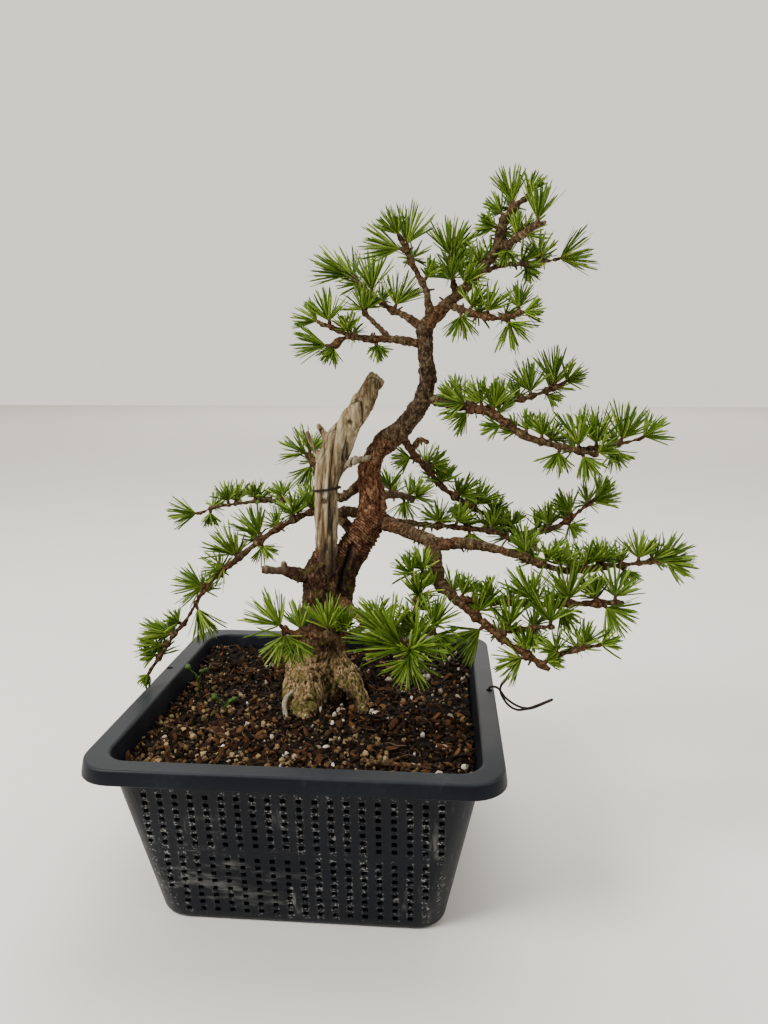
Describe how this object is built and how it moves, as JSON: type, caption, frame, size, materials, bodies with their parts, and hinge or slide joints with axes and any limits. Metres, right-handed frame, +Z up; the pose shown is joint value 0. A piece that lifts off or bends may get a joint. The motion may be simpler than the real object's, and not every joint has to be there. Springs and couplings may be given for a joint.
{
  "type": "bonsai tree in a pot",
  "caption": "Larch bonsai with a bent bare deadwood top, tufted needle twigs and root flare, standing in soil in a square perforated plastic pond basket.",
  "frame": {"origin": "middle of the basket's underside, on the surface it stands on", "axes": "+Z up along the height, -Y towards the front, +X to the right, the side the branches reach furthest"},
  "size_m": [0.2884, 0.192, 0.3594],
  "materials": {
    "pot_plastic": "satin black moulded plastic with pale scuffs",
    "soil": "rough crumbly mix of bark, grit and pumice",
    "trunk_bark": "rough flaky bark, tan and mossy at the foot",
    "branch_bark": "knobbly young bark",
    "bleached_wood": "dry bleached grain, cracked lengthwise",
    "larch_needles": "soft satin needles in tufts",
    "weed_leaf": "small thin leaves",
    "dark_wire": "dull dark coated wire"
  },
  "bodies": {
    "root": {"cut_stub": "branch_bark", "deadwood": "bleached_wood", "deadwood_wire": "dark_wire", "guy_wire": "dark_wire", "limb_back_left": "branch_bark", "limb_back_right": "branch_bark", "limb_cascade": "branch_bark", "limb_crown_back": "branch_bark", "limb_crown_left": "branch_bark", "limb_front": "branch_bark", "limb_leader": "branch_bark", "limb_leader_low": "branch_bark", "limb_left_back": "branch_bark", "limb_mid_left": "branch_bark", "limb_right_back": "branch_bark", "limb_right_cut": "branch_bark", "limb_right_long": "branch_bark", "limb_right_low": "branch_bark", "limb_right_mid": "branch_bark", "limb_right_upper": "branch_bark", "needles_back_left": "larch_needles", "needles_back_right": "larch_needles", "needles_cascade": "larch_needles", "needles_cascade_tip": "larch_needles", "needles_crown_back": "larch_needles", "needles_crown_left": "larch_needles", "needles_front": "larch_needles", "needles_front_left": "larch_needles", "needles_front_right": "larch_needles", "needles_leader": "larch_needles", "needles_leader_far": "larch_needles", "needles_leader_low": "larch_needles", "needles_leader_right": "larch_needles", "needles_leader_up": "larch_needles", "needles_left_back": "larch_needles", "needles_mid_left": "larch_needles", "needles_mid_left_front": "larch_needles", "needles_mid_left_up": "larch_needles", "needles_right_back": "larch_needles", "needles_right_cut": "larch_needles", "needles_right_cut_hanger": "larch_needles", "needles_right_cut_inner": "larch_needles", "needles_right_cut_spur": "larch_needles", "needles_right_cut_young": "larch_needles", "needles_right_long": "larch_needles", "needles_right_low": "larch_needles", "needles_right_mid": "larch_needles", "needles_right_mid_tip": "larch_needles", "needles_right_upper": "larch_needles", "needles_right_upper_back": "larch_needles", "needles_right_upper_tip": "larch_needles", "pot_basket": "pot_plastic", "soil_bed": "soil", "soil_heap": "soil", "soil_ridge": "soil", "soil_twig_left": "branch_bark", "soil_twig_right": "branch_bark", "trunk": "trunk_bark", "weed_front": "weed_leaf", "weed_left": "weed_leaf"}
  },
  "joints": []
}
